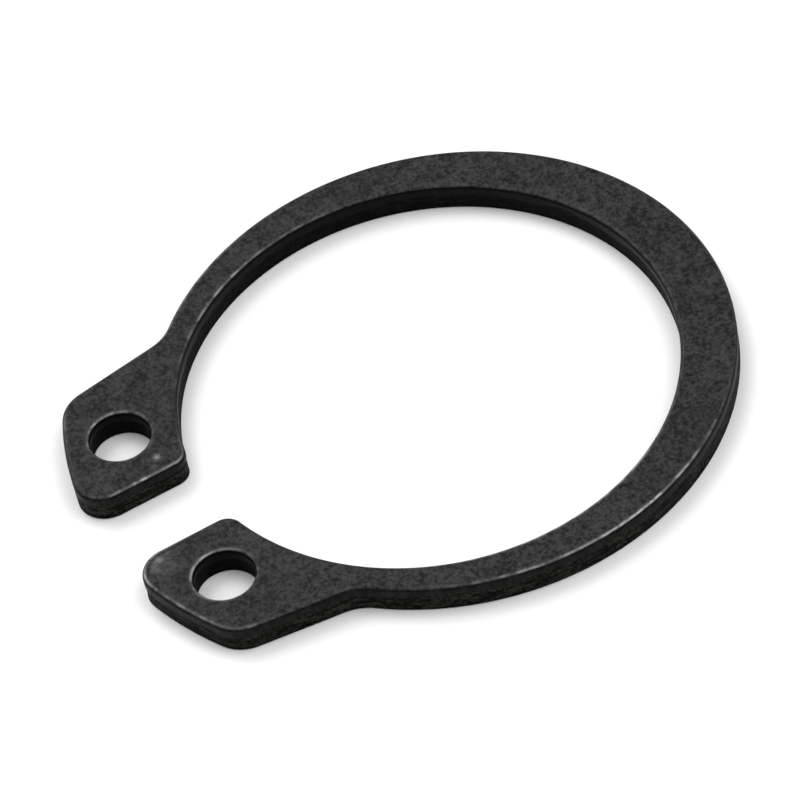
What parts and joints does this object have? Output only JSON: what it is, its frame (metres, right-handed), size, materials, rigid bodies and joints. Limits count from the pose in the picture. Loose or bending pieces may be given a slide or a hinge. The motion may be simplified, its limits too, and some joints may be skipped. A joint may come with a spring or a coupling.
{
  "type": "external retaining ring",
  "caption": "External retaining ring of flat spring steel: tapered open band with two drilled lugs at the gap, opened with pliers and snapped into a shaft groove.",
  "frame": {"origin": "on the shaft axis, in the plane of the ring's lower face", "axes": "+Z along the shaft axis, up from the lower face; -Y from the shaft axis towards the gap between the lugs; the ring is symmetrical about the plane X = 0"},
  "size_m": [0.0192, 0.022, 0.001],
  "materials": {
    "black_oxide_steel": "black oxide, lightly oiled, satin"
  },
  "bodies": {
    "root": {"retaining_ring": "black_oxide_steel"}
  },
  "joints": []
}
